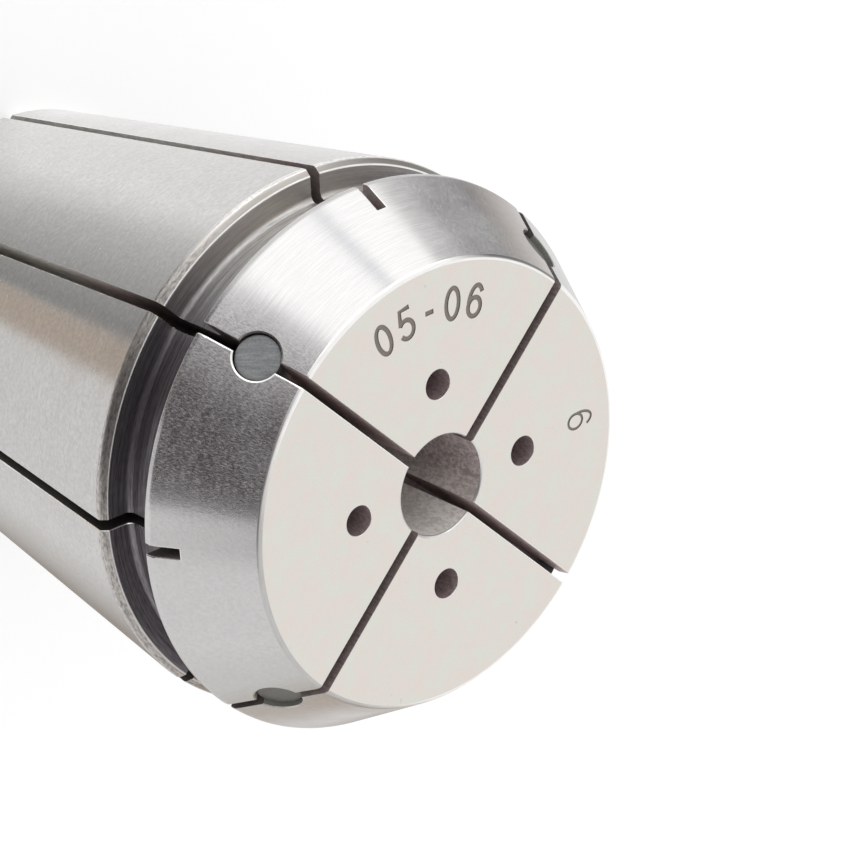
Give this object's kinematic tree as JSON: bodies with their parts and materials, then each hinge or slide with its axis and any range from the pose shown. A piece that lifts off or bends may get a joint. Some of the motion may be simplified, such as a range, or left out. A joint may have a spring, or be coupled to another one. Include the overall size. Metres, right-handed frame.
{
  "type": "er collet",
  "caption": "Sealed spring collet: slotted steel cone with a through bore, an extraction groove, coolant jets and rubber slot plugs.",
  "frame": {"origin": "centre of the rear face, on the collet's axis", "axes": "+Z along the axis towards the nose, -Y and the other three level axes through the front slots"},
  "size_m": [0.033, 0.033, 0.04],
  "materials": {
    "ground_steel": "ground taper and nose, turned groove, satin front face",
    "seal_rubber": "matt"
  },
  "bodies": {
    "root": {"collet_body": "ground_steel", "seal_plug_1": "seal_rubber", "seal_plug_2": "seal_rubber", "seal_plug_3": "seal_rubber", "seal_plug_4": "seal_rubber"}
  },
  "joints": []
}
